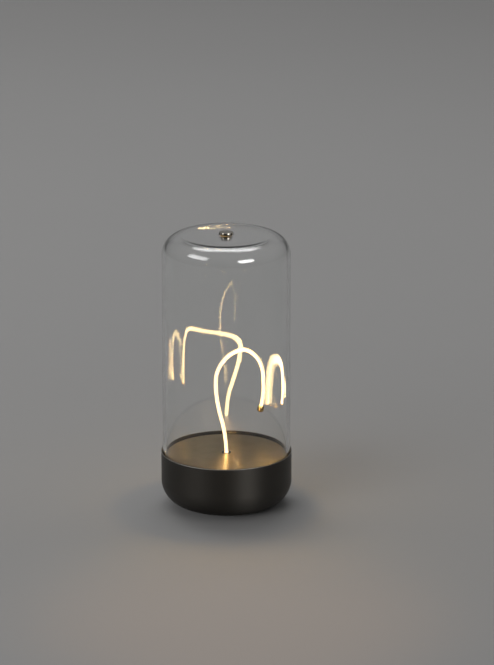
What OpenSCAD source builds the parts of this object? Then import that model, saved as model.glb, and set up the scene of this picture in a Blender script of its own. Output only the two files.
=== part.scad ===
// Table lamp charged over USB: a clear glass jar on a black cup base, lit by one hook-shaped filament.
// Sizes are in millimetres. Z is up, the table is at Z = 0, the front faces -Y and the rear +Y.

/* [Base] */
// Outer diameter of the base cup
base_d = 100; // [90:1:114]
// Height of the base cup from its underside to its rim
base_h = 42; // [41:0.5:52]
// Radius of the rounded lower edge of the cup
base_edge_r = 19; // [16:0.5:20]
// Thickness of the metal wall of the cup
cup_wall = 2.4; // [2:0.1:2.8]
// Thickness of the thin rim lip that stands around the foot of the glass
rim_lip = 0.8; // [0.6:0.1:1.2]
// How far the deck lies below the rim
deck_drop = 2; // [1.5:0.1:3]
// Thickness of the deck
deck_t = 2; // [1.6:0.1:2.5]
// Thickness of the cover that closes the underside
cover_t = 1.2; // [1:0.1:1.4]
// How far the rubber foot ring stands out below the cup
foot_proud = 1.2; // [1:0.1:2]

/* [Glass jar] */
// Height of the glass above the rim of the base
glass_rise = 170.6; // [150:0.2:200]
// Thickness of the glass
glass_t = 2.6; // [2.2:0.1:3.2]
// Outer radius of the shoulder of the jar
shoulder_r = 15; // [8:0.5:22]
// Radial gap between the glass and the metal beside it
glass_gap = 0.3; // [0.2:0.05:0.5]
// Thickness of the soft ring that the glass stands on
gasket_t = 1; // [0.6:0.1:1.5]

/* [Top fixing] */
// Diameter of the round cap on the top of the glass
cap_d = 11; // [10:0.5:14]
// Height of the round cap
cap_h = 1.7; // [1.5:0.1:3]
// Diameter of the stud through the glass
stud_d = 4; // [3:0.5:4.5]
// Width across the flats of the nut inside the glass
nut_w = 7; // [6.5:0.1:8]
// Height of the nut inside the glass
nut_h = 3.2; // [2.4:0.1:4]
// Thickness of the two seals above and below the glass
seal_t = 0.4; // [0.3:0.1:0.8]

/* [Filament] */
// Outer diameter of the filament
filament_d = 2.8; // [2.4:0.1:3.4]
// Thickness of the clear sleeve of the filament
sleeve_t = 0.4; // [0.3:0.05:0.5]
// Diameter of the stiff wire that holds the shape and carries the current back
wire_d = 0.7; // [0.5:0.1:0.9]
// Height of the crest of the hook above the deck
hook_h = 75; // [60:1:100]
// Gap between the hook and the glass where they are nearest
hook_wall_gap = 1; // [0.8:0.1:8]
// Direction in which the hook leans, turned from +X towards +Y
hook_turn = 37; // [0:1:360]
// Diameter of the metal cap on the free end
tip_d = 5.4; // [4.8:0.1:6.4]
// Length of the metal cap on the free end
tip_l = 5.2; // [4.6:0.1:8]

/* [Power] */
// Diameter of the battery cell
cell_d = 18.4; // [14:0.1:19]
// Length of the battery cell
cell_l = 65; // [50:0.5:70]
// Diameter of the power button
button_d = 8; // [6:0.5:9]
// How far the power button stands out of the wall
button_proud = 1; // [0.8:0.1:1.6]
// Angle of the power button from the rear, towards +X
button_turn = 28; // [22:1:36]

/* [Hidden] */
// Facets asked for on each full round
$fn = 96;
// Gap between pieces that move past each other
move_gap = 0.3;
// Gap between fixed pieces that only sit in each other
seat_gap = 0.15;
// Gap around a screw or a strand in its hole
hole_gap = 0.1;

// Heights of the base, from the table up
cup_z = foot_proud;
cup_floor_z = cup_z + cup_wall;
rim_z = cup_z + base_h;
deck_z = rim_z - deck_drop;
deck_under = deck_z - deck_t;
groove_z = deck_under - gasket_t;

// Radii of the base and the glass
base_r = base_d / 2;
cup_in_r = base_r - cup_wall;
lip_r = base_r - rim_lip;
glass_out_r = lip_r - glass_gap;
glass_in_r = glass_out_r - glass_t;
deck_r = glass_in_r - glass_gap;
groove_step = 0.4;
groove_r = glass_in_r - groove_step;
ledge_w = 4;
ledge_in_r = deck_r - ledge_w;
ledge_t = 3.5;
edge_in_r = base_edge_r - cup_wall;
flat_r = base_r - base_edge_r;

// Heights of the glass
glass_foot_z = deck_under;
glass_z = rim_z + glass_rise;
foot_round = 0.8;

// Underside, from the outside in: cover, foot ring, cover screws and opening
cover_edge = 2;
cover_r = flat_r - cover_edge;
ring_edge = 0.5;
ring_out_r = cover_r - ring_edge;
ring_w = 4;
ring_in_r = ring_out_r - ring_w;
ring_sunk = 0.4;
cover_screw_d = 2.5;
cover_head_d = 4.6;
cover_head_h = 0.8;
cover_head_gap = 0.8;
cover_screw_r = ring_in_r - cover_head_gap - cover_head_d / 2;
cover_angles = [30, 150, 270];
hatch_edge = 3.4;
hatch_r = cover_screw_r - hatch_edge;

// Inner frame: a ring on the cup's floor, a plate on it and what stands on the plate
frame_step = 2.6;
frame_plate_t = 2;
frame_ring_edge = 1;
frame_ring_r = flat_r - frame_ring_edge;
frame_hatch_gap = 0.5;
plate_z = cup_floor_z + frame_step;
plate_top = plate_z + frame_plate_t;
plate_gap = 1.8;
plate_r = flat_r + sqrt(pow(edge_in_r, 2) - pow(edge_in_r - frame_step, 2)) - plate_gap;
post_d = 7.5;
post_r = 10.5;
boss_h = 6;
post_top = deck_under - boss_h;
posts = [[post_r, 0], [-post_r, 0], [0, post_r]];
deck_screw_d = 3;
deck_head_d = 5.4;
deck_head_h = 1.8;
deck_screw_free = 2;

// Battery and its cradle
cell_post_gap = 1.05;
cell_y = -post_d / 2 - cell_post_gap - cell_d / 2;
cradle_t = 1.5;
cradle_rise = 4;
cradle_z = plate_top + cradle_rise;
cell_lift = 0.3;
cell_z = cradle_z + cradle_t + cell_lift + cell_d / 2;
saddle_in = 14.5;
saddle_x = cell_l / 2 - saddle_in;
saddle_w = 5;
saddle_side = 1.6;
saddle_over = 4;
contact_t = 0.4;
contact_w = 9;
contact_h = 11;
contact_space = 1.6;
contact_bump_d = 5;
end_wall_t = 2;
end_wall_w = 6;
end_wall_h = 14;
bed_l = cell_l + 2 * contact_space;
pole_d = 6;
pole_l = 1.2;

// Control board, its pillars, the socket and the switch
board_t = 1.6;
board_rise = 14;
board_z = plate_top + board_rise;
board_top = board_z + board_t;
board_gap = 3.6;
board_r = cup_in_r - board_gap;
board_deep = 24;
board_front = board_r - board_deep;
board_half = 31;
board_tab_w = 12;
board_tab_l = 4;
pillar_d = 6;
pillar_edge = 1;
pillar_r = plate_r - pillar_d / 2 - pillar_edge;
pillars = [for (a = [43, 137, 115]) [pillar_r * cos(a), pillar_r * sin(a)]];
board_screw_d = 2.5;
board_screw_l = 6;
board_head_d = 4.4;
board_head_h = 1.6;
usb_w = 8.94;
usb_h = 3.26;
usb_l = 7.35;
usb_wall = 0.3;
usb_z = board_top + usb_h / 2;
usb_recess = 0.6;
usb_mouth = base_r - usb_recess;
usb_back = usb_mouth - usb_l;
usb_block_l = 1.8;
usb_end_t = 0.4;
tongue_w = 6.6;
tongue_t = 0.7;
tongue_l = 4.6;

// Parts on the board and the places where the wires end on it
chip_w = 6;
chip_h = 1.2;
chip_y = board_front + 8;
coil_w = 6;
coil_h = 3;
coil_x = 12;
coil_y = board_front + 1;
driver_w = 4;
driver_h = 1;
driver_x = -12;
driver_y = board_front + 3;
can_d = 5;
can_h = 6;
can_r = pillar_r + 2.4;
can_angle = 126;
bead_w = 1.2;
bead_l = 2;
bead_h = 0.8;
bead_y = usb_back - 6;
bead_x = 4.6;
bead_step = 2.4;
lead_d = 0.8;
lead_x = 9;
cell_lead_d = 1.2;
cell_lead_x = 20;
lead_end_y = board_front + 1.5;

// Power button, measured outwards from the lamp's axis along the button
flange_t = 1.2;
flange_step = 1.2;
flange_d = button_d + 2 * flange_step;
flange_out = sqrt(pow(cup_in_r, 2) - pow(flange_d / 2, 2)) - move_gap;
flange_in = flange_out - flange_t;
switch_l = 4;
switch_w = 6;
switch_room = 3.8;
switch_out = flange_in - switch_room;
plunger_d = 2.4;
plunger_in = 1.2;
press_depth = 2.4;

// Foot of the filament
ferrule_d = 5;
ferrule_rim_d = 7;
ferrule_rim_t = 0.5;
ferrule_nut_w = 8;
ferrule_nut_h = 2.5;
ferrule_end = 0.8;
tail_l = 6;
filament_tail = deck_t + tail_l;
core_d = filament_d - 2 * sleeve_t - hole_gap;

// Course of the filament above the deck: along the lean, across it, and up, at the drawn size
hook_reach = 43.9;
hook_crest = 75;
hook_course = [
    [0, 0, 0], [-0.5, 0.6, 10.8], [-1.3, 2.4, 21], [-2.5, 5.1, 30.8], [-2.9, 7.9, 40.6],
    [-2.4, 10.3, 50.4], [-0.2, 11.9, 60.1], [5.6, 12.1, 68.4], [14.8, 11.6, 73.9], [26, 10.1, 75],
    [36.1, 9, 67.8], [41.5, 8.3, 57.6], [42.8, 8.4, 46.7], [43, 8.9, 35.8], [41.6, 10.2, 25.3]
];
hook_wide = (glass_in_r - hook_wall_gap - filament_d / 2) / hook_reach;
hook_tall = hook_h / hook_crest;
hook_points = [for (p = hook_course) [
    hook_wide * (p[0] * cos(hook_turn) - p[1] * sin(hook_turn)),
    hook_wide * (p[0] * sin(hook_turn) + p[1] * cos(hook_turn)),
    deck_z + hook_tall * p[2]
]];
filament_path = concat(
    [[0, 0, deck_z - filament_tail]],
    smooth_course(hook_points, [0, 0, deck_z - 12], 4)
);
tip_end = filament_path[len(filament_path) - 1];
tip_way = unit(tip_end - filament_path[len(filament_path) - 2]);
tip_bore = 2;

// Unit vector along v
function unit(v) = v / norm(v);

// One point of a smooth curve that runs from b to c, with a and d beside them
function curve_point(a, b, c, d, t) =
    0.5 * (
        2 * b + (c - a) * t + (2 * a - 5 * b + 4 * c - d) * t * t + (3 * b - a - 3 * c + d) * t * t * t
    );

// Smooth curve through all points: before lies ahead of the first, steps counts the points a stretch
function smooth_course(points, before, steps) =
    let (
        last = len(points) - 1,
        after = 2 * points[last] - points[last - 1],
        all = concat([before], points, [after])
    )
    concat(
        [for (i = [1 : last], k = [0 : steps - 1])
            curve_point(all[i - 1], all[i], all[i + 1], all[i + 2], k / steps)],
        [points[last]]
    );

// Direction of a path at each of its points
function path_ways(path) =
    let (last = len(path) - 1)
    [for (i = [0 : last]) unit(path[min(i + 1, last)] - path[max(i - 1, 0)])];

// Part of n that is square to the way t
function square_to(n, t) = unit(n - t * (n * t));

// Sideways direction at each point of a path, carried along without twist
function path_sides(ways) =
    [for (i = 0, n = square_to([1, 0.3, 0.2], ways[0]); i < len(ways);
        i = i + 1, n = i < len(ways) ? square_to(n, ways[i]) : n) n];

// Rings of points around a path
function path_rings(path, r, sides) =
    let (ways = path_ways(path), across = path_sides(ways))
    [for (i = [0 : len(path) - 1], k = [0 : sides - 1])
        let (a = 360 * k / sides)
        path[i] + r * (cos(a) * across[i] + sin(a) * cross(ways[i], across[i]))];

// Triangles of the skin between neighbouring rings, starting at point number from
function skin(rings, sides, from, outward) =
    [for (i = [0 : rings - 2], k = [0 : sides - 1])
        let (
            a = from + i * sides + k,
            b = from + i * sides + (k + 1) % sides,
            c = a + sides,
            d = b + sides
        )
        each outward ? [[a, c, b], [b, c, d]] : [[a, b, c], [b, d, c]]];

// Round strand along a path
module strand(path, d, sides) {
    rings = len(path);
    top = (rings - 1) * sides;
    polyhedron(
        points = path_rings(path, d / 2, sides),
        faces = concat(
            skin(rings, sides, 0, true),
            [[for (k = [0 : sides - 1]) k]],
            [[for (k = [sides - 1 : -1 : 0]) top + k]]
        )
    );
}

// Round tube along a path, with flat ring-shaped ends
module tube(path, d_out, d_in, sides) {
    rings = len(path);
    inside = rings * sides;
    top = (rings - 1) * sides;
    bottom_ends = [for (k = [0 : sides - 1])
        let (m = (k + 1) % sides)
        each [[k, m, inside + k], [m, inside + m, inside + k]]];
    top_ends = [for (k = [0 : sides - 1])
        let (m = (k + 1) % sides)
        each [[top + k, inside + top + k, top + m], [top + m, inside + top + k, inside + top + m]]];
    polyhedron(
        points = concat(path_rings(path, d_out / 2, sides), path_rings(path, d_in / 2, sides)),
        faces = concat(
            skin(rings, sides, 0, true),
            skin(rings, sides, inside, false),
            bottom_ends,
            top_ends
        )
    );
}

// Half section from the axis out to r, from z = 0 up to h, with the lower outer edge rounded
module bowl_section(r, h, edge) {
    square([r - edge, h]);
    translate([0, edge]) square([r, h - edge]);
    intersection() {
        translate([r - edge, edge]) circle(edge);
        translate([r - edge, 0]) square([edge, edge]);
    }
}

// Flat strip with round ends, as wide as w and as high as h, centred
module stadium(w, h) {
    square([w - h, h], center = true);
    translate([w / 2 - h / 2, 0]) circle(h / 2);
    translate([h / 2 - w / 2, 0]) circle(h / 2);
}

// Ring around the Z axis
module ring(r_in, r_out, h) {
    difference() {
        cylinder(r = r_out, h = h);
        translate([0, 0, -1]) cylinder(r = r_in, h = h + 2);
    }
}

// Turn and lift to the power button: Z then points outwards along the button
module at_button() {
    rotate([0, 0, -button_turn]) translate([0, 0, usb_z]) rotate([-90, 0, 0]) children();
}

// Pan-head screw with its head at the bottom and its tip pointing up, the head's seat at z = 0
module screw_up(d, l, head_d, head_h) {
    difference() {
        union() {
            translate([0, 0, -head_h]) cylinder(d = head_d, h = head_h);
            cylinder(d = d, h = l);
        }
        translate([0, 0, -head_h - 1]) cylinder(d = head_d * 0.5, h = 1 + head_h * 0.55, $fn = 6);
    }
}

// Spun metal cup with a ledge for the deck, a groove for the gasket and a thin lip around the glass
module base_cup() {
    color([0.05, 0.05, 0.05])
    difference() {
        translate([0, 0, cup_z]) rotate_extrude() bowl_section(base_r, base_h, base_edge_r);
        translate([0, 0, cup_floor_z]) rotate_extrude()
            bowl_section(cup_in_r, deck_under - ledge_t - cup_floor_z, edge_in_r);
        translate([0, 0, deck_under - ledge_t - 1]) cylinder(r = ledge_in_r, h = base_h);
        translate([0, 0, deck_under]) cylinder(r = lip_r, h = base_h);
        translate([0, 0, groove_z]) ring(groove_r, lip_r, gasket_t + 1);
        translate([0, 0, cup_z - 1]) cylinder(r = hatch_r, h = cup_wall + 2);
        translate([0, 0, cup_z - 1]) cylinder(r = cover_r + seat_gap, h = cover_t + 1);
        for (a = cover_angles)
            rotate([0, 0, a]) translate([cover_screw_r, 0, cup_z])
                cylinder(d = cover_screw_d + 2 * hole_gap, h = cup_wall + 1);
        translate([0, base_r + 1, usb_z]) rotate([90, 0, 0])
            linear_extrude(cup_wall + 4) stadium(usb_w + 2 * move_gap, usb_h + 2 * move_gap);
        at_button() translate([0, 0, cup_in_r - 3])
            cylinder(d = button_d + 2 * move_gap, h = cup_wall + 8);
    }
}

// Glossy disc inside the foot of the glass, with bosses below for its screws
module deck_plate() {
    color([0.08, 0.075, 0.07])
    difference() {
        union() {
            translate([0, 0, deck_under]) cylinder(r = deck_r, h = deck_t);
            for (p = posts)
                translate([p[0], p[1], post_top]) cylinder(d = post_d, h = boss_h);
        }
        translate([0, 0, deck_under - 1]) cylinder(d = ferrule_d + 2 * hole_gap, h = deck_t + 2);
        for (p = posts)
            translate([p[0], p[1], post_top - 1]) cylinder(d = deck_screw_d + 2 * hole_gap, h = boss_h);
    }
}

// Soft ring in the groove, under the foot of the glass
module glass_gasket() {
    color([0.12, 0.12, 0.12])
    translate([0, 0, groove_z]) ring(groove_r + seat_gap, lip_r - seat_gap, gasket_t);
}

// Moulded frame that holds the deck, the battery and the board
module inner_frame() {
    color([0.16, 0.16, 0.17])
    difference() {
        union() {
            translate([0, 0, cup_floor_z]) ring(hatch_r + frame_hatch_gap, frame_ring_r, frame_step);
            translate([0, 0, plate_z]) cylinder(r = plate_r, h = frame_plate_t);
            for (p = posts)
                translate([p[0], p[1], plate_z]) cylinder(d = post_d, h = post_top - plate_z);
            for (p = pillars)
                translate([p[0], p[1], plate_z]) cylinder(d = pillar_d, h = board_z - plate_z);
            cradle_blocks();
        }
        translate([-bed_l / 2, cell_y, cell_z]) rotate([0, 90, 0])
            cylinder(d = cell_d + 2 * seat_gap, h = bed_l);
        for (p = posts)
            translate([p[0], p[1], plate_z - 1]) cylinder(d = deck_screw_d + 2 * hole_gap, h = base_h);
        for (p = pillars)
            translate([p[0], p[1], board_top - board_screw_l - 1])
                cylinder(d = board_screw_d + 2 * hole_gap, h = board_screw_l + 1);
        for (a = cover_angles)
            rotate([0, 0, a]) translate([cover_screw_r, 0, cup_floor_z - 1])
                cylinder(d = cover_screw_d + 2 * hole_gap, h = frame_step + 2);
    }
}

// Floor, saddles and end walls of the battery cradle, before the bed of the cell is cut
module cradle_blocks() {
    translate([-bed_l / 2 - end_wall_t, cell_y - end_wall_w / 2, cradle_z])
        cube([bed_l + 2 * end_wall_t, end_wall_w, cradle_t]);
    for (x = [-saddle_x, saddle_x])
        translate([x - saddle_w / 2, cell_y - cell_d / 2 - saddle_side, plate_z])
            cube([saddle_w, cell_d + 2 * saddle_side, cell_z + saddle_over - plate_z]);
    for (x = [-bed_l / 2 - end_wall_t, bed_l / 2])
        translate([x, cell_y - end_wall_w / 2, cradle_z])
            cube([end_wall_t, end_wall_w, cradle_t + end_wall_h]);
}

// Round cover that closes the underside, with a shallow groove for the foot ring
module bottom_cover() {
    color([0.07, 0.07, 0.07])
    difference() {
        translate([0, 0, cup_z]) cylinder(r = cover_r, h = cover_t);
        translate([0, 0, cup_z - 1]) ring(ring_in_r - seat_gap, ring_out_r + seat_gap, ring_sunk + 1);
        for (a = cover_angles)
            rotate([0, 0, a]) translate([cover_screw_r, 0, cup_z - 1])
                cylinder(d = cover_screw_d + 2 * hole_gap, h = cover_t + 2);
    }
}

// Screws that hold the cover, the cup and the frame together
module cover_screws() {
    color([0.55, 0.55, 0.56])
    for (a = cover_angles)
        rotate([0, 0, a]) translate([cover_screw_r, 0, cup_z])
            screw_up(cover_screw_d, cup_wall + frame_step - ring_sunk, cover_head_d, cover_head_h);
}

// Rubber ring that the lamp stands on
module foot_ring() {
    color([0.1, 0.1, 0.1])
    ring(ring_in_r, ring_out_r, foot_proud + ring_sunk);
}

// Long screws from below through the frame into the deck
module deck_screws() {
    color([0.55, 0.55, 0.56])
    for (p = posts)
        translate([p[0], p[1], plate_z])
            screw_up(deck_screw_d, deck_under - deck_screw_free - plate_z, deck_head_d, deck_head_h);
}

// Clear amber sleeve of the filament
module filament_sleeve() {
    color([0.95, 0.72, 0.35])
    tube(filament_path, filament_d, filament_d - 2 * sleeve_t, 12);
}

// Glowing core inside the sleeve
module light_core() {
    color([1, 0.94, 0.75])
    tube(filament_path, core_d, wire_d + hole_gap, 12);
}

// Stiff wire along the middle of the core
module shape_wire() {
    color([0.72, 0.68, 0.6])
    strand(filament_path, wire_d, 12);
}

// Round metal cap on the free end of the filament
module tip_cap() {
    round_r = 1.9;
    color([0.62, 0.45, 0.2])
    translate(tip_end)
    rotate([0, acos(tip_way[2]), atan2(tip_way[1], tip_way[0])])
    translate([0, 0, -tip_bore])
    difference() {
        rotate_extrude() {
            square([tip_d / 2 - round_r, tip_l]);
            translate([0, round_r]) square([tip_d / 2, tip_l - 2 * round_r]);
            for (z = [round_r, tip_l - round_r])
                intersection() {
                    translate([tip_d / 2 - round_r, z]) circle(round_r);
                    translate([tip_d / 2 - round_r, z - round_r]) square([round_r, 2 * round_r]);
                }
        }
        translate([0, 0, -1]) cylinder(d = filament_d + 2 * hole_gap, h = tip_bore + 1);
    }
}

// Bushing that leads the filament through the deck
module stem_ferrule() {
    color([0.1, 0.1, 0.1])
    difference() {
        union() {
            translate([0, 0, deck_under - ferrule_nut_h - ferrule_end])
                cylinder(d = ferrule_d, h = deck_t + ferrule_nut_h + ferrule_end + ferrule_rim_t / 2);
            translate([0, 0, deck_z]) cylinder(d = ferrule_rim_d, h = ferrule_rim_t);
        }
        translate([0, 0, deck_z - base_h / 2]) cylinder(d = filament_d + 2 * hole_gap, h = base_h);
    }
}

// Nut on the bushing, under the deck
module ferrule_nut() {
    color([0.6, 0.6, 0.6])
    translate([0, 0, deck_under - ferrule_nut_h])
    difference() {
        cylinder(d = ferrule_nut_w / cos(30), h = ferrule_nut_h, $fn = 6);
        translate([0, 0, -1]) cylinder(d = ferrule_d + 2 * hole_gap, h = ferrule_nut_h + 2);
    }
}

// Two wires from the foot of the filament to the board
module filament_leads() {
    start = deck_z - filament_tail;
    color([0.7, 0.1, 0.08])
    for (s = [-1, 1])
        strand(
            smooth_course(
                [
                    [s * 0.5, 0, start - hole_gap], [s * 1.6, 2.4, start - 2.5], [s * 5.5, 8, start - 4.6],
                    [s * (lead_x - 0.4), lead_end_y - 4, board_top + 3.4],
                    [s * lead_x, lead_end_y, board_top + 2.4],
                    [s * lead_x, lead_end_y, board_top + hole_gap]
                ],
                [s * 0.5, 0, start + 3], 4
            ),
            lead_d, 8
        );
}

// Board that charges the cell and feeds the filament
module control_board() {
    color([0.05, 0.25, 0.14])
    difference() {
        translate([0, 0, board_z]) linear_extrude(board_t) {
            intersection() {
                circle(board_r);
                translate([-board_half, board_front]) square([2 * board_half, board_r]);
            }
            translate([-board_tab_w / 2, board_front])
                square([board_tab_w, usb_back + board_tab_l - board_front]);
        }
        for (p = pillars)
            translate([p[0], p[1], board_z - 1])
                cylinder(d = board_screw_d + 2 * hole_gap, h = board_t + 2);
    }
}

// Chips, coil and capacitors on the board
module board_parts() {
    color([0.13, 0.13, 0.14]) {
        translate([-chip_w / 2, chip_y, board_top]) cube([chip_w, chip_w, chip_h]);
        translate([coil_x, coil_y, board_top]) cube([coil_w, coil_w, coil_h]);
        translate([driver_x, driver_y, board_top]) cube([driver_w, driver_w, driver_h]);
        rotate([0, 0, can_angle]) translate([can_r, 0, board_top]) cylinder(d = can_d, h = can_h);
        for (x = [-bead_x - bead_step, -bead_x, bead_x, bead_x + bead_step])
            translate([x - bead_w / 2, bead_y, board_top]) cube([bead_w, bead_l, bead_h]);
    }
}

// Screws that hold the board on its pillars
module board_screws() {
    color([0.55, 0.55, 0.56])
    for (p = pillars)
        translate([p[0], p[1], board_top]) rotate([180, 0, 0])
            screw_up(board_screw_d, board_screw_l, board_head_d, board_head_h);
}

// Metal shell of the charging socket, its mouth level with the outside of the cup
module usb_shell() {
    color([0.7, 0.7, 0.72])
    translate([0, usb_mouth, usb_z]) rotate([90, 0, 0])
    difference() {
        linear_extrude(usb_l) stadium(usb_w, usb_h);
        translate([0, 0, -1]) linear_extrude(usb_l - usb_end_t + 1)
            stadium(usb_w - 2 * usb_wall, usb_h - 2 * usb_wall);
    }
}

// Insulating block and contact tongue inside the socket
module usb_tongue() {
    color([0.09, 0.09, 0.1])
    translate([0, usb_back + usb_end_t, usb_z]) rotate([-90, 0, 0]) {
        linear_extrude(usb_block_l)
            stadium(usb_w - 2 * usb_wall - hole_gap, usb_h - 2 * usb_wall - hole_gap);
        translate([-tongue_w / 2, -tongue_t / 2, usb_block_l - hole_gap])
            cube([tongue_w, tongue_t, tongue_l + hole_gap]);
    }
}

// Push switch on the board, with a bore for the plunger
module switch_body() {
    color([0.14, 0.14, 0.15])
    at_button()
    difference() {
        translate([-switch_w / 2, -usb_h / 2, switch_out - switch_l]) cube([switch_w, usb_h, switch_l]);
        translate([0, 0, switch_out - press_depth])
            cylinder(d = plunger_d + 2 * move_gap, h = press_depth + 1);
    }
}

// Battery cell lying in the cradle
module battery_cell() {
    color([0.1, 0.3, 0.5])
    translate([-cell_l / 2, cell_y, cell_z - seat_gap]) rotate([0, 90, 0]) {
        cylinder(d = cell_d, h = cell_l - pole_l);
        translate([0, 0, cell_l / 2]) cylinder(d = pole_d, h = cell_l / 2);
    }
}

// Contact plates with a raised middle that presses on the ends of the cell
module battery_contacts() {
    color([0.78, 0.74, 0.6])
    for (s = [-1, 1])
        translate([s * (cell_l / 2 + contact_space), cell_y, cell_z - seat_gap]) {
            translate([-s * contact_t / 2, 0, 0]) cube([contact_t, contact_w, contact_h], center = true);
            rotate([0, -s * 90, 0]) cylinder(d = contact_bump_d, h = contact_space);
        }
}

// Two wires from the battery contacts to the board
module battery_leads() {
    top = cell_z - seat_gap + contact_h / 2;
    side = cell_l / 2 + contact_space - contact_t;
    color([0.08, 0.08, 0.09])
    for (s = [-1, 1])
        strand(
            smooth_course(
                [
                    [s * side, cell_y, top + hole_gap], [s * side, cell_y + 2, top + 2.5],
                    [s * (side - 0.5), 0, top + 2.8],
                    [s * (side - 5), lead_end_y - 6, board_top + 3.6],
                    [s * cell_lead_x, lead_end_y, board_top + 2.6],
                    [s * cell_lead_x, lead_end_y, board_top + hole_gap]
                ],
                [s * side, cell_y, top - 3], 4
            ),
            cell_lead_d, 8
        );
}

// Clear jar, closed at the top, with a small hole for the stud
module glass_jar() {
    foot_w = glass_t - 2 * foot_round;
    jar_h = glass_z - glass_foot_z;
    color([0.85, 0.9, 0.9, 0.3])
    difference() {
        translate([0, 0, glass_z]) mirror([0, 0, 1]) rotate_extrude() {
            difference() {
                bowl_section(glass_out_r, jar_h - foot_round, shoulder_r);
                translate([0, glass_t]) bowl_section(glass_in_r, jar_h, shoulder_r - glass_t);
            }
            translate([glass_in_r + foot_round, jar_h - foot_round]) square([foot_w, foot_round]);
            for (r = [glass_in_r + foot_round, glass_out_r - foot_round])
                translate([r, jar_h - foot_round])
                    intersection() {
                        circle(foot_round);
                        translate([-foot_round, -0.01]) square([2 * foot_round, foot_round + 0.01]);
                    }
        }
        translate([0, 0, glass_z - glass_t - 1]) cylinder(d = stud_d + 1, h = glass_t + 2);
    }
}

// Polished cap on the top of the glass
module top_cap() {
    round_r = 0.6;
    color([0.5, 0.45, 0.36])
    translate([0, 0, glass_z + seal_t])
    difference() {
        rotate_extrude() {
            square([cap_d / 2, cap_h - round_r]);
            square([cap_d / 2 - round_r, cap_h]);
            intersection() {
                translate([cap_d / 2 - round_r, cap_h - round_r]) circle(round_r);
                translate([cap_d / 2 - round_r, cap_h - round_r]) square(round_r);
            }
        }
        translate([0, 0, -1]) cylinder(d = stud_d + 2 * hole_gap, h = cap_h * 0.6 + 1);
    }
}

// Stud that runs from the cap through the glass into the nut
module cap_stud() {
    low = glass_z - glass_t - seal_t - nut_h;
    color([0.55, 0.5, 0.4])
    translate([0, 0, low]) cylinder(d = stud_d, h = glass_z + seal_t + cap_h * 0.6 - low);
}

// Seal between the cap and the glass
module cap_seal() {
    color([0.75, 0.6, 0.35])
    translate([0, 0, glass_z]) ring(stud_d / 2 + hole_gap, cap_d / 2 - 0.4, seal_t);
}

// Seal between the glass and the nut
module nut_seal() {
    color([0.75, 0.6, 0.35])
    translate([0, 0, glass_z - glass_t - seal_t]) ring(stud_d / 2 + hole_gap, nut_w / 2, seal_t);
}

// Nut under the top of the glass
module cap_nut() {
    color([0.55, 0.5, 0.4])
    translate([0, 0, glass_z - glass_t - seal_t - nut_h])
    difference() {
        cylinder(d = nut_w / cos(30), h = nut_h, $fn = 6);
        translate([0, 0, -1]) cylinder(d = stud_d + 2 * hole_gap, h = nut_h + 2);
    }
}

// Button cap with a flange that keeps it behind the wall
module power_button() {
    round_r = 0.5;
    face = base_r + button_proud;
    color([0.06, 0.06, 0.06])
    at_button()
    rotate_extrude() {
        translate([0, flange_in]) square([flange_d / 2, flange_t]);
        translate([0, flange_in]) square([button_d / 2, face - round_r - flange_in]);
        translate([0, flange_in]) square([button_d / 2 - round_r, face - flange_in]);
        intersection() {
            translate([button_d / 2 - round_r, face - round_r]) circle(round_r);
            translate([button_d / 2 - round_r, face - round_r]) square(round_r);
        }
    }
}

// Pin that carries the push from the button into the switch
module switch_plunger() {
    color([0.75, 0.75, 0.73])
    at_button() translate([0, 0, switch_out - plunger_in])
        cylinder(d = plunger_d, h = flange_in - switch_out + plunger_in);
}

base_cup();
deck_plate();
glass_gasket();
inner_frame();
bottom_cover();
cover_screws();
foot_ring();
deck_screws();
filament_sleeve();
light_core();
shape_wire();
tip_cap();
stem_ferrule();
ferrule_nut();
filament_leads();
control_board();
board_parts();
board_screws();
usb_shell();
usb_tongue();
switch_body();
battery_cell();
battery_contacts();
battery_leads();
glass_jar();
top_cap();
cap_stud();
cap_seal();
nut_seal();
cap_nut();
power_button();
switch_plunger();
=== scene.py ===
"""Looks of a cordless table lamp: a clear glass jar on a black cup base, lit by a hook-shaped filament."""

import math

import bpy
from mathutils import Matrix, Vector


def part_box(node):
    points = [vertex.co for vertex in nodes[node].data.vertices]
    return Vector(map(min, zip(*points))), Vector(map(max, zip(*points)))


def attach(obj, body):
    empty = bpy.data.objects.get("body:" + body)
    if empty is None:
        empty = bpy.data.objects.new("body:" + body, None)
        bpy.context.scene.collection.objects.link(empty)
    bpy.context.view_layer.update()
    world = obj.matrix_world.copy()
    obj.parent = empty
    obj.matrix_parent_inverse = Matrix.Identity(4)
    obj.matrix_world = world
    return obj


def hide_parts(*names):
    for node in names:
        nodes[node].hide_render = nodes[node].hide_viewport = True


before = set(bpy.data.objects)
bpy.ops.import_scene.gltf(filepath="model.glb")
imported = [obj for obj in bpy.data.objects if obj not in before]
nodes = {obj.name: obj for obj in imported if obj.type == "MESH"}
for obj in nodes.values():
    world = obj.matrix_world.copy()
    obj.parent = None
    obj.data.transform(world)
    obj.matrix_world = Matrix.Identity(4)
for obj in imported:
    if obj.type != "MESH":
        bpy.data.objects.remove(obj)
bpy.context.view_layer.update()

MM = 0.001

# Camera, fitted to the photograph
AIM = Vector((0.0, 0.0, 0.1112))
DISTANCE = 3.0
ELEVATION = math.radians(16.7672)
LOOK_UP = math.radians(0.468)
LOOK_RIGHT = math.radians(0.315)
LENS = 212.82
SENSOR = 36.0
CLIP_NEAR = 0.1
CLIP_FAR = 100.0

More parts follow.
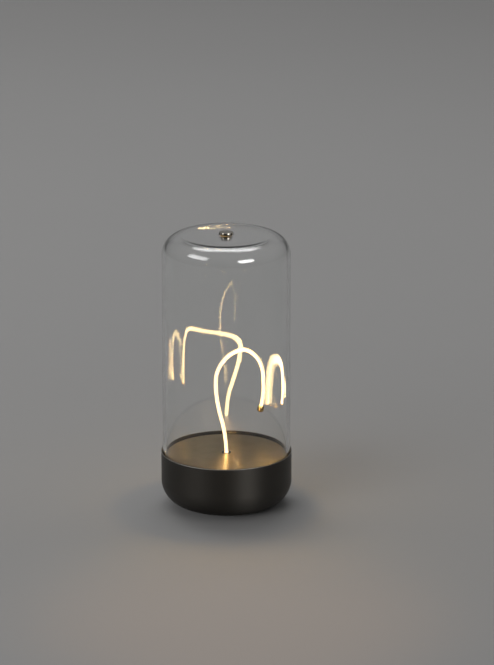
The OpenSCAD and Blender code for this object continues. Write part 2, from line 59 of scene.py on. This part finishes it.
# Lights that shape the floor and that nothing mirrors: name, place, size, radiance
LIGHTS = (
    ("back_left", (-2.2, 1.5, 2.0), (1.0, 1.0), 1.9),
    ("back_high", (-1.4, 2.2, 2.4), (1.2, 1.2), 4.7),
    ("overhead", (0.0, 1.0, 1.95), (1.25, 0.9), 4.6),
    ("left_low", (-3.0, -0.6, 0.7), (4.0, 1.2), 1.75),
    ("front_left", (-2.0, -2.4, 0.7), (2.0, 1.2), 11.0),
    ("back_right", (2.2, 1.5, 2.0), (1.0, 1.0), 1.0),
)
# Soft boxes that only shiny surfaces show: name, place, size, radiance
SOFT_BOXES = (
    ("overhead_box", (0.0, 0.9, 1.75), (1.25, 0.68), 4.6),
    ("right_box", (1.07, -1.27, 1.25), (0.9, 0.55), 14.0),
    ("left_box", (-1.4, -0.62, 1.7), (1.3, 0.7), 5.6),
    ("rear_box", (0.0, 4.0, 1.3), (3.0, 1.6), 0.08),
)
LIGHT_AIM = (0.0, 0.0, 0.05)
# World: strength at the horizon, strength overhead, and how far up that is reached (1 is straight up)
WORLD_LOW = 0.085
WORLD_HIGH = 0.365
WORLD_TOP = 0.9
FLOOR_REACH = 14.0

# Jar
GLASS_T = 2.6 * MM
SHOULDER_R = 15.0 * MM
FOOT_ROUND = 0.8 * MM
STUD_HOLE_R = 2.5 * MM
HOLE_ROUND = 0.3 * MM
JAR_SEGMENTS = 288
SHOULDER_STEPS = 40
WALL_STEPS = 24
FOOT_STEPS = 8
TOP_STEPS = 6
HOLE_STEPS = 4

# Filament: the points of its course along the lean, across it and up, in millimetres
HOOK_COURSE = (
    (0, 0, 0), (-0.5, 0.6, 10.8), (-1.3, 2.4, 21), (-2.5, 5.1, 30.8), (-2.9, 7.9, 40.6),
    (-2.4, 10.3, 50.4), (-0.2, 11.9, 60.1), (5.6, 12.1, 68.4), (14.8, 11.6, 73.9), (26, 10.1, 75),
    (36.1, 9, 67.8), (41.5, 8.3, 57.6), (42.8, 8.4, 46.7), (43, 8.9, 35.8), (41.6, 10.2, 25.3),
)
HOOK_TURN = math.radians(37)
ROUTE_STEPS = 10
# Depth below the deck: of the filament's lower end, and of the point that its curve comes from
TAIL = 8.0 * MM
RUN_IN = 12.0 * MM
SLEEVE_R = 1.4 * MM
SLEEVE_SIDES = 28
CORE_R = 0.95 * MM
CORE_SIDES = 20

# Glow of the filament: its strength, and shares of it in two shades, for light that comes straight
# from it, was mirrored once, or was mirrored more often
GLOW_STRENGTH = 100.0
CORE_SEEN = ((0.0150, 0.0080, 0.0082), (0.0150, 0.0083, 0.0086))
CORE_ONCE = ((0.35, 0.238, 0.110), (0.35, 0.247, 0.118))
CORE_OFTEN = ((1.0, 0.67, 0.28), (1.0, 0.71, 0.31))
SLEEVE_SEEN = ((0.0190, 0.0136, 0.0064), (0.0190, 0.0140, 0.0068))
SLEEVE_ONCE = ((0.155, 0.104, 0.045), (0.155, 0.107, 0.048))
SLEEVE_OFTEN = ((0.8, 0.53, 0.22), (0.8, 0.56, 0.24))
# Counts of mirrors above which the second and the third of these shares hold
ABOVE_NONE = 0.5
ABOVE_ONE = 1.5

# Small lamps that cast the glow, each at a point of the course, in watts
LAMP_R = 12.0 * MM
LAMP_COLOUR = (1.0, 0.66, 0.25)
CREST_POINT = 9
CREST_POWER = 0.21
FRONT_POINT = 4
FRONT_POWER = 0.46
FRONT_AIM = (0.03, -0.33, 0.0)
FRONT_CONE = math.radians(115)
# Soft warm pool of light on the floor in front
POOL_PLACE = (0.01, -0.5, 0.8)
POOL_AIM = (0.01, -0.27, 0.0)
POOL_POWER = 5.8
POOL_CONE = math.radians(25)
POOL_COLOUR = (1.0, 0.5, 0.14)

# Scale of a grain along X, Y and Z
EVEN = (1, 1, 1)
ALONG_Y = (1, 0.12, 1)
# Plain finishes: name, nodes, dark and light shade, roughness, scale of clouds and grain, depth of grain
PLAIN = (
    ("dark_rubber_look", ("glass_gasket", "foot_ring"),
     (0.016, 0.016, 0.016), (0.03, 0.03, 0.029), (0.7, 0.9), 90.0, 2200.0, 0.02 * MM),
    ("frame_plastic_look", ("inner_frame",),
     (0.036, 0.036, 0.038), (0.056, 0.056, 0.058), (0.45, 0.62), 70.0, 1900.0, 0.02 * MM),
    ("cover_coat_look", ("bottom_cover",),
     (0.010, 0.0095, 0.009), (0.018, 0.017, 0.016), (0.42, 0.56), 70.0, 2400.0, 0.014 * MM),
    ("ferrule_black_look", ("stem_ferrule",),
     (0.012, 0.011, 0.010), (0.022, 0.020, 0.018), (0.1, 0.16), 200.0, 2400.0, 0.01 * MM),
    ("red_wire_look", ("filament_leads",),
     (0.36, 0.014, 0.010), (0.5, 0.028, 0.02), (0.3, 0.45), 300.0, 2500.0, 0.01 * MM),
    ("black_wire_look", ("battery_leads",),
     (0.010, 0.010, 0.011), (0.02, 0.02, 0.021), (0.3, 0.45), 300.0, 2500.0, 0.01 * MM),
    ("board_green_look", ("control_board",),
     (0.007, 0.075, 0.028), (0.013, 0.11, 0.045), (0.25, 0.4), 120.0, 900.0, 0.01 * MM),
    ("chip_black_look", ("board_parts", "usb_tongue", "switch_body"),
     (0.014, 0.014, 0.016), (0.028, 0.028, 0.03), (0.45, 0.65), 250.0, 3000.0, 0.01 * MM),
    ("cell_wrap_look", ("battery_cell",),
     (0.014, 0.07, 0.2), (0.026, 0.11, 0.3), (0.22, 0.34), 50.0, 700.0, 0.02 * MM),
    ("button_black_look", ("power_button",),
     (0.010, 0.0095, 0.009), (0.018, 0.017, 0.016), (0.36, 0.5), 150.0, 2600.0, 0.012 * MM),
    ("plunger_white_look", ("switch_plunger",),
     (0.54, 0.54, 0.51), (0.66, 0.66, 0.63), (0.4, 0.55), 200.0, 1800.0, 0.01 * MM),
)
# Metal finishes: name, nodes, dark and light shade, roughness, scale of the grain and how it is drawn out
METALS = (
    ("screw_steel_look", ("cover_screws", "deck_screws", "board_screws", "ferrule_nut"),
     (0.42, 0.42, 0.43), (0.56, 0.56, 0.56), (0.24, 0.38), 900.0, EVEN),
    ("nickel_wire_look", ("shape_wire", "battery_contacts"),
     (0.52, 0.49, 0.43), (0.66, 0.63, 0.56), (0.2, 0.32), 900.0, EVEN),
    ("dark_brass_look", ("tip_cap",),
     (0.34, 0.21, 0.07), (0.52, 0.35, 0.13), (0.14, 0.26), 900.0, EVEN),
    ("socket_steel_look", ("usb_shell",),
     (0.47, 0.47, 0.48), (0.6, 0.6, 0.61), (0.2, 0.34), 1600.0, ALONG_Y),
)
METAL_CLOUD = 180.0
METAL_DEPTH = 0.004 * MM

COAT_DEPTH = 0.004 * MM
# Depths below the rim of the base where the worn, bare-metal edge of its lip begins, and where it is full;
# this edge is partly wear and partly a painted highlight line along the rim
WEAR_HIGHLIGHT_START = 0.7 * MM
WEAR_HIGHLIGHT_FULL = 0.2 * MM
# How far faces of the base look outwards where the wear and painted highlight begin and are full, and
# where the painted shade of the inside ends
FACES_OUT = (0.05, 0.3)
FACES_IN = (-0.5, -0.2)
# Noise values between which the wear and painted highlight get stronger, from its least share to all of it
SPECKS = (0.2, 0.6)
LEAST_WEAR_HIGHLIGHT = 0.7
# Painted reflections on the turned fixing, dark and bright rays in its colour: their scale, the noise
# values of a ray's edge, and what counts as looking up
REFLECTION_RAY_SCALE = 2.6
REFLECTION_RAY_EDGE = (0.46, 0.58)
FACES_UP = (0.5, 0.9)
# Middle parts of a noise's range, which a ramp spreads out
MIDDLE = (0.3, 0.7)
WIDE_MIDDLE = (0.25, 0.75)

# Angles above which an edge is shaded as a crease
CREASE = math.radians(32)
ROD_CREASE = math.radians(50)
# Direction that the first ring of a rod is counted from
RING_START = Vector((1.0, 0.3, 0.2))
# Colour sockets of a Mix node, which share their names with its other sockets
MIX_FROM = 6
MIX_TO = 7
MIX_RESULT = 2


# Helpers for objects and meshes

def add_object(name, data):
    obj = bpy.data.objects.new(name, data)
    bpy.context.scene.collection.objects.link(obj)
    return obj


def turn_to(obj, target):
    obj.rotation_euler = (Vector(target) - obj.location).to_track_quat("-Z", "Y").to_euler()


def add_mesh(name, verts, faces, crease=CREASE):
    mesh = bpy.data.meshes.new(name)
    mesh.from_pydata(verts, [], faces)
    mesh.validate()
    mesh.update()
    for face in mesh.polygons:
        face.use_smooth = True
    mesh.set_sharp_from_angle(angle=crease)
    return add_object(name, mesh)


def between(start, end, steps):
    """Evenly spaced values between start and end, without these two."""
    return [start + (end - start) * i / steps for i in range(1, steps)]


def arc(centre, radius, start, end, steps):
    """Points of an arc in the (r, z) plane, angles in degrees from +r towards +z."""
    out = []
    for i in range(steps + 1):
        a = math.radians(start + (end - start) * i / steps)
        out.append((centre[0] + radius * math.cos(a), centre[1] + radius * math.sin(a)))
    return out


def lathe(name, profile, segments):
    """A closed (r, z) outline turned around Z."""
    count = len(profile)
    verts, faces = [], []
    for k in range(segments):
        a = 2 * math.pi * k / segments
        verts += [(r * math.cos(a), r * math.sin(a), z) for r, z in profile]
    for k in range(segments):
        here = k * count
        there = (k + 1) % segments * count
        for i in range(count):
            j = (i + 1) % count
            faces.append((here + i, here + j, there + j, there + i))
    return add_mesh(name, verts, faces)


def smooth_route(points, before, steps):
    """A Catmull-Rom curve through all the points, which comes from the point before them."""
    after = points[-1] * 2 - points[-2]
    run = [before] + points + [after]
    out = []
    for i in range(1, len(points)):
        a, b, c, d = run[i - 1:i + 3]
        slope = c - a
        bend = a * 2 - b * 5 + c * 4 - d
        twist = b * 3 - a - c * 3 + d
        for k in range(steps):
            t = k / steps
            out.append((b * 2 + slope * t + bend * t * t + twist * t ** 3) * 0.5)
    out.append(points[-1])
    return out


def rod(name, path, radius, sides):
    """A round rod along a path, with flat ends and rings that are carried along without twist."""
    last = len(path) - 1
    side = RING_START
    verts, faces = [], []
    for i, centre in enumerate(path):
        way = (path[min(i + 1, last)] - path[max(i - 1, 0)]).normalized()
        side = (side - way * side.dot(way)).normalized()
        up = way.cross(side)
        for k in range(sides):
            a = 2 * math.pi * k / sides
            verts.append(centre + (side * math.cos(a) + up * math.sin(a)) * radius)
    for i in range(last):
        here = i * sides
        there = here + sides
        for k in range(sides):
            m = (k + 1) % sides
            faces.append((here + k, here + m, there + m, there + k))
    faces.append(tuple(reversed(range(sides))))
    faces.append(tuple(range(last * sides, last * sides + sides)))
    return add_mesh(name, verts, faces, ROD_CREASE)


# Helpers for materials

class Look:
    """A material of one Principled shader, with helpers for the textures that feed it."""

    def __init__(self, name, **sockets):
        self.material = bpy.data.materials.new(name)
        self.material.use_nodes = True
        self.tree = self.material.node_tree
        self.tree.nodes.clear()
        self.out = self.node("OutputMaterial")
        self.shader = self.node("BsdfPrincipled")
        self.link(self.shader.outputs["BSDF"], self.out.inputs["Surface"])
        self.coord = self.node("TexCoord")
        self.set(**sockets)

    def node(self, kind):
        return self.tree.nodes.new("ShaderNode" + kind)

    def link(self, source, socket):
        self.tree.links.new(source, socket)

    def set(self, **sockets):
        """Fixed values of the shader, by the sockets' names in small letters with underscores."""
        for key, value in sockets.items():
            name = key.replace("_", " ").title().replace("Ior", "IOR")
            if isinstance(value, tuple):
                value = (*value, 1.0)
            self.shader.inputs[name].default_value = value

    def feed(self, name, source):
        self.link(source, self.shader.inputs[name])

    def stretched(self, scale):
        mapping = self.node("Mapping")
        mapping.inputs["Scale"].default_value = scale
        self.link(self.coord.outputs["Object"], mapping.inputs["Vector"])
        return mapping.outputs["Vector"]

    def noise(self, scale, detail, rough, where=None):
        n = self.node("TexNoise")
        n.inputs["Scale"].default_value = scale
        n.inputs["Detail"].default_value = detail
        n.inputs["Roughness"].default_value = rough
        self.link(where or self.coord.outputs["Object"], n.inputs["Vector"])
        return n.outputs["Fac"]

    def ramp(self, value, low, high, to_low=0.0, to_high=1.0):
        """A soft step from to_low to to_high while the value goes from low to high."""
        n = self.node("MapRange")
        n.interpolation_type = "SMOOTHSTEP"
        n.inputs["From Min"].default_value = low
        n.inputs["From Max"].default_value = high
        n.inputs["To Min"].default_value = to_low
        n.inputs["To Max"].default_value = to_high
        self.link(value, n.inputs["Value"])
        return n.outputs["Result"]

    def z_part(self, of):
        """The Z part of the object coordinate or of the normal."""
        n = self.node("SeparateXYZ")
        self.link(self.coord.outputs[of], n.inputs["Vector"])
        return n.outputs["Z"]

    def outward(self):
        """The level direction from the Z axis to the shaded point."""
        n = self.node("VectorMath")
        n.operation = "NORMALIZE"
        self.link(self.stretched((1, 1, 0)), n.inputs[0])
        return n.outputs["Vector"]

    def along(self, a, b):
        """How far direction a goes along direction b, from -1 to 1."""
        n = self.node("VectorMath")
        n.operation = "DOT_PRODUCT"
        self.link(a, n.inputs[0])
        self.link(b, n.inputs[1])
        return n.outputs["Value"]

    def combine(self, kind, a, b):
        n = self.node("Math")
        n.operation = kind
        self.link(a, n.inputs[0])
        self.link(b, n.inputs[1])
        return n.outputs["Value"]

    def above(self, value, limit):
        """1 where the value is above the limit, and 0 elsewhere."""
        n = self.node("Math")
        n.operation = "GREATER_THAN"
        self.link(value, n.inputs[0])
        n.inputs[1].default_value = limit
        return n.outputs["Value"]

    def blend(self, factor, a, b):
        """From colour a to colour b; each is a tuple or the output of a node."""
        n = self.node("Mix")
        n.data_type = "RGBA"
        self.link(factor, n.inputs["Factor"])
        for socket, value in ((n.inputs[MIX_FROM], a), (n.inputs[MIX_TO], b)):
            if isinstance(value, tuple):
                socket.default_value = (*value, 1.0)
            else:
                self.link(value, socket)
        return n.outputs[MIX_RESULT]

    def bump(self, height, distance):
        n = self.node("Bump")
        n.inputs["Strength"].default_value = 1.0
        n.inputs["Distance"].default_value = distance
        self.link(height, n.inputs["Height"])
        self.feed("Normal", n.outputs["Normal"])

    def clear_to_light(self):
        """Lets light pass to what is inside or behind, as a thin clear wall does."""
        mix = self.node("MixShader")
        path = self.node("LightPath")
        through = self.node("BsdfTransparent")
        self.link(path.outputs["Is Shadow Ray"], mix.inputs[0])
        self.link(self.shader.outputs["BSDF"], mix.inputs[1])
        self.link(through.outputs["BSDF"], mix.inputs[2])
        self.link(mix.outputs["Shader"], self.out.inputs["Surface"])


def varied(name, dark, light, rough, cloud, grain, depth, stretch=EVEN, **sockets):
    """Colour and roughness that drift softly over the surface, with a fine grain."""
    look = Look(name, **sockets)
    soft = look.noise(scale=cloud, detail=4.0, rough=0.55)
    fine = look.noise(scale=grain, detail=3.0, rough=0.6, where=look.stretched(stretch))
    look.feed("Base Color", look.blend(look.ramp(soft, *MIDDLE), dark, light))
    look.feed("Roughness", look.ramp(fine, *WIDE_MIDDLE, *rough))
    look.bump(fine, depth)
    return look


# Materials

def black_coat():
    """Satin black over spun metal, with highlights drawn out up and down, a lip edge worn bare that is
    also a painted highlight line, and painted shade inside.
    """
    look = Look("black_coat_look", specular_ior_level=0.70, ior=1.5, specular_tint=(1.0, 0.93, 0.83),
                anisotropic=0.8, anisotropic_rotation=0.25)
    spun = look.node("Tangent")
    spun.direction_type = "RADIAL"
    spun.axis = "Z"
    look.feed("Tangent", spun.outputs["Tangent"])
    soft = look.noise(scale=45.0, detail=4.0, rough=0.55)
    grain = look.noise(scale=2600.0, detail=2.0, rough=0.5)
    speck = look.noise(scale=900.0, detail=1.0, rough=0.4)
    black = look.blend(look.ramp(soft, *MIDDLE), (0.0020, 0.0017, 0.0013), (0.0027, 0.0023, 0.0018))
    # Bare metal on the outer lip edge: partly wear, partly a painted highlight line along the rim
    bare_metal_highlight = (0.42, 0.40, 0.37)
    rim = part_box("base_cup")[1].z
    facing = look.along(look.outward(), look.coord.outputs["Normal"])
    edge = look.ramp(look.z_part("Object"), rim - WEAR_HIGHLIGHT_START, rim - WEAR_HIGHLIGHT_FULL)
    lip = look.combine("MULTIPLY", edge, look.ramp(facing, *FACES_OUT))
    wear_and_highlight = look.combine("MULTIPLY", lip, look.ramp(speck, *SPECKS, LEAST_WEAR_HIGHLIGHT, 1.0))
    # Faces that look inwards are metallic too, which keeps them dark: painted shade inside the cup
    painted_shade_inside = look.ramp(facing, *FACES_IN, 1.0, 0.0)
    look.feed("Base Color", look.blend(wear_and_highlight, black, bare_metal_highlight))
    look.feed("Metallic", look.combine("MAXIMUM", wear_and_highlight, painted_shade_inside))
    look.feed("Roughness", look.ramp(grain, *WIDE_MIDDLE, 0.50, 0.56))
    look.bump(grain, COAT_DEPTH)
    return look


def deck_gloss():
    """Dark bronze under a clear coat: the coat mirrors the filament, the bronze spreads its glow."""
    look = Look("deck_gloss_look", metallic=1.0, specular_tint=(0.20, 0.21, 0.22), coat_weight=0.08,
                coat_roughness=0.12, coat_ior=1.5)
    soft = look.noise(scale=70.0, detail=4.0, rough=0.6)
    smear = look.noise(scale=120.0, detail=2.0, rough=0.5)
    bronze = look.blend(look.ramp(soft, *MIDDLE), (0.215, 0.175, 0.122), (0.247, 0.202, 0.142))
    look.feed("Base Color", bronze)
    look.feed("Roughness", look.ramp(smear, *MIDDLE, 0.34, 0.37))
    return look


def clear_glass():
    look = Look("clear_glass_look", roughness=0.0, transmission_weight=1.0, ior=1.49)
    drift = look.noise(scale=25.0, detail=2.0, rough=0.5)
    tint = look.blend(look.ramp(drift, *MIDDLE), (0.972, 0.98, 0.976), (0.99, 0.993, 0.991))
    look.feed("Base Color", tint)
    look.clear_to_light()
    return look


def glow(look, seen, once, often):
    """The filament's light, toned down where it is seen straight on, as a camera's highlights are.

    The fainter its mirror image, the more of the strength is kept.
    """
    chips = look.ramp(look.noise(scale=700.0, detail=1.0, rough=0.4), *MIDDLE)
    mirrors = look.node("LightPath").outputs["Glossy Depth"]
    shown = look.blend(chips, *seen)
    shown = look.blend(look.above(mirrors, ABOVE_NONE), shown, look.blend(chips, *once))
    shown = look.blend(look.above(mirrors, ABOVE_ONE), shown, look.blend(chips, *often))
    look.feed("Emission Color", shown)
    look.set(emission_strength=GLOW_STRENGTH)


def glowing_core():
    look = Look("glowing_core_look", base_color=(1.0, 0.86, 0.5), roughness=0.5)
    glow(look, CORE_SEEN, CORE_ONCE, CORE_OFTEN)
    return look


def amber_sleeve():
    look = Look("amber_sleeve_look", ior=1.41, alpha=0.5)
    cloudy = look.noise(scale=900.0, detail=3.0, rough=0.5)
    look.feed("Base Color", look.blend(cloudy, (0.80, 0.52, 0.20), (0.86, 0.60, 0.26)))
    look.feed("Roughness", look.ramp(cloudy, *MIDDLE, 0.12, 0.2))
    glow(look, SLEEVE_SEEN, SLEEVE_ONCE, SLEEVE_OFTEN)
    return look


def amber_seal():
    look = Look("amber_seal_look", transmission_weight=0.35, ior=1.43)
    cloudy = look.noise(scale=500.0, detail=3.0, rough=0.5)
    look.feed("Base Color", look.blend(cloudy, (0.62, 0.36, 0.11), (0.78, 0.50, 0.19)))
    look.feed("Roughness", look.ramp(cloudy, *MIDDLE, 0.18, 0.32))
    return look


def turned_metal():
    """Polished metal with painted reflections: dark and bright rays in its colour, like those of a turned
    face, softer on faces that look up.
    """
    look = Look("fixing_metal_painted_reflection_look", metallic=1.0)
    # Painted reflections: rays of dark and bright colour by direction around the axis
    reflection_ray = look.noise(scale=REFLECTION_RAY_SCALE, detail=0.0, rough=0.5, where=look.outward())
    soft = look.noise(scale=180.0, detail=3.0, rough=0.5)
    up = look.ramp(look.z_part("Normal"), *FACES_UP)
    # Shades of the painted reflection, with less contrast on faces that look up
    dark = look.blend(up, (0.035, 0.030, 0.023), (0.26, 0.24, 0.205))
    painted_bright = look.blend(up, (0.85, 0.79, 0.68), (0.62, 0.575, 0.495))
    look.feed("Base Color", look.blend(look.ramp(reflection_ray, *REFLECTION_RAY_EDGE), dark, painted_bright))
    look.feed("Roughness", look.ramp(soft, *MIDDLE, 0.07, 0.13))
    return look


def paint(names, look):
    for name in names:
        materials = nodes[name].data.materials
        materials.clear()
        materials.append(look.material)


def paint_nodes():
    paint(("base_cup",), black_coat())
    paint(("deck_plate",), deck_gloss())
    paint(("top_cap", "cap_stud", "cap_nut"), turned_metal())
    paint(("cap_seal", "nut_seal"), amber_seal())
    for name, names, dark, light, rough, cloud, grain, depth in PLAIN:
        paint(names, varied(name, dark, light, rough, cloud, grain, depth))
    for name, names, dark, light, rough, grain, stretch in METALS:
        look = varied(name, dark, light, rough, METAL_CLOUD, grain, METAL_DEPTH, stretch, metallic=1.0)
        paint(names, look)


# Jar

def make_jar():
    lo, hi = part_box("glass_jar")
    out_r = hi.x
    in_r = out_r - GLASS_T
    top = hi.z
    under = top - GLASS_T
    turn_r = out_r - SHOULDER_R
    turn_z = top - SHOULDER_R
    bend_z = lo.z + FOOT_ROUND
    hole_r = STUD_HOLE_R + HOLE_ROUND
    wall = between(turn_z, bend_z, WALL_STEPS)
    profile = arc((hole_r, top - HOLE_ROUND), HOLE_ROUND, 180, 90, HOLE_STEPS)
    profile += [(r, top) for r in between(STUD_HOLE_R, turn_r, TOP_STEPS)]
    profile += arc((turn_r, turn_z), SHOULDER_R, 90, 0, SHOULDER_STEPS)
    profile += [(out_r, z) for z in wall]
    profile += arc((out_r - FOOT_ROUND, bend_z), FOOT_ROUND, 0, -90, FOOT_STEPS)
    profile += arc((in_r + FOOT_ROUND, bend_z), FOOT_ROUND, -90, -180, FOOT_STEPS)
    profile += [(in_r, z) for z in reversed(wall)]
    profile += arc((turn_r, turn_z), SHOULDER_R - GLASS_T, 0, 90, SHOULDER_STEPS)
    profile += [(r, under) for r in between(turn_r, STUD_HOLE_R, TOP_STEPS)]
    profile += arc((hole_r, under + HOLE_ROUND), HOLE_ROUND, 270, 180, HOLE_STEPS)
    jar = lathe("jar_glass", profile, JAR_SEGMENTS)
    jar.data.materials.append(clear_glass().material)
    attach(jar, "glass")
    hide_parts("glass_jar")


# Filament

def warm_lamp(kind, place, power, colour):
    data = bpy.data.lights.new("glow", kind)
    data.energy = power
    data.color = colour
    data.shadow_soft_size = LAMP_R
    lamp = add_object("glow", data)
    lamp.location = place
    lamp.visible_glossy = False
    lamp.visible_transmission = False
    return lamp


def warm_spot(place, aim, power, cone, colour):
    lamp = warm_lamp("SPOT", place, power, colour)
    lamp.data.spot_size = cone
    lamp.data.spot_blend = 1.0
    turn_to(lamp, aim)


def make_filament():
    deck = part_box("deck_plate")[1].z
    c = math.cos(HOOK_TURN)
    s = math.sin(HOOK_TURN)
    points = [Vector((u * c - v * s, u * s + v * c, deck / MM + up)) * MM for u, v, up in HOOK_COURSE]
    route = smooth_route(points, Vector((0, 0, deck - RUN_IN)), ROUTE_STEPS)
    path = [Vector((0, 0, deck - TAIL))] + route
    sleeve = rod("filament_sleeve_clear", path, SLEEVE_R, SLEEVE_SIDES)
    core = rod("filament_core_glow", path, CORE_R, CORE_SIDES)
    sleeve.data.materials.append(amber_sleeve().material)
    core.data.materials.append(glowing_core().material)
    pieces = ((sleeve, "filament_sleeve", "amber_sleeve"), (core, "light_core", "glowing_core"))
    for obj, node, slot in pieces:
        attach(obj, "base")
        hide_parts(node)
        # The lamps below stand in for the light that the filament casts on dull surfaces
        obj.visible_diffuse = False
    warm_lamp("POINT", points[CREST_POINT], CREST_POWER, LAMP_COLOUR)
    warm_spot(points[FRONT_POINT], FRONT_AIM, FRONT_POWER, FRONT_CONE, LAMP_COLOUR)
    warm_spot(POOL_PLACE, POOL_AIM, POOL_POWER, POOL_CONE, POOL_COLOUR)


# Stage

def make_floor():
    corners = [(x * FLOOR_REACH, y * FLOOR_REACH, 0) for x, y in ((-1, -1), (1, -1), (1, 1), (-1, 1))]
    floor = add_mesh("floor", corners, [(0, 1, 2, 3)])
    look = Look("floor_look", specular_ior_level=0.0)
    soft = look.noise(scale=1.3, detail=3.0, rough=0.5)
    grain = look.noise(scale=160.0, detail=2.0, rough=0.6)
    look.feed("Base Color", look.blend(soft, (0.226, 0.224, 0.222), (0.240, 0.238, 0.236)))
    look.feed("Roughness", look.ramp(grain, *MIDDLE, 0.6, 0.75))
    floor.data.materials.append(look.material)


def area_light(name, place, size, radiance):
    """A white soft box of that radiance, turned to the lamp."""
    data = bpy.data.lights.new(name, "AREA")
    data.shape = "RECTANGLE"
    data.size, data.size_y = size
    data.energy = radiance * math.pi * size[0] * size[1]
    light = add_object(name, data)
    light.location = place
    turn_to(light, LIGHT_AIM)
    return light


def make_lights():
    for row in LIGHTS:
        light = area_light(*row)
        light.visible_glossy = False
        light.visible_transmission = False
    for row in SOFT_BOXES:
        light = area_light(*row)
        light.visible_diffuse = False


def make_world():
    """White light that gets stronger from the horizon upwards."""
    world = bpy.data.worlds.new("studio")
    bpy.context.scene.world = world
    world.use_nodes = True
    tree = world.node_tree
    tree.nodes.clear()
    coord = tree.nodes.new("ShaderNodeTexCoord")
    split = tree.nodes.new("ShaderNodeSeparateXYZ")
    rise = tree.nodes.new("ShaderNodeMapRange")
    back = tree.nodes.new("ShaderNodeBackground")
    out = tree.nodes.new("ShaderNodeOutputWorld")
    rise.inputs["From Min"].default_value = 0.0
    rise.inputs["From Max"].default_value = WORLD_TOP
    rise.inputs["To Min"].default_value = WORLD_LOW
    rise.inputs["To Max"].default_value = WORLD_HIGH
    back.inputs["Color"].default_value = (1.0, 1.0, 1.0, 1.0)
    tree.links.new(coord.outputs["Generated"], split.inputs["Vector"])
    tree.links.new(split.outputs["Z"], rise.inputs["Value"])
    tree.links.new(rise.outputs["Result"], back.inputs["Strength"])
    tree.links.new(back.outputs["Background"], out.inputs["Surface"])


def make_camera():
    data = bpy.data.cameras.new("camera")
    data.lens = LENS
    data.sensor_fit = "AUTO"
    data.sensor_width = SENSOR
    data.clip_start = CLIP_NEAR
    data.clip_end = CLIP_FAR
    camera = add_object("camera", data)
    camera.location = AIM + Vector((0, -math.cos(ELEVATION), math.sin(ELEVATION))) * DISTANCE
    camera.rotation_euler = (math.pi / 2 - ELEVATION + LOOK_UP, 0, -LOOK_RIGHT)
    bpy.context.scene.camera = camera


paint_nodes()
make_jar()
make_filament()
make_floor()
make_lights()
make_world()
make_camera()

bpy.context.scene.view_settings.view_transform = "Standard"
# Bright mirror images keep their strength, and the filament's glow comes from its lamps alone
bpy.context.scene.cycles.sample_clamp_indirect = 0.0
bpy.context.scene.cycles.caustics_reflective = False
bpy.context.scene.cycles.caustics_refractive = False
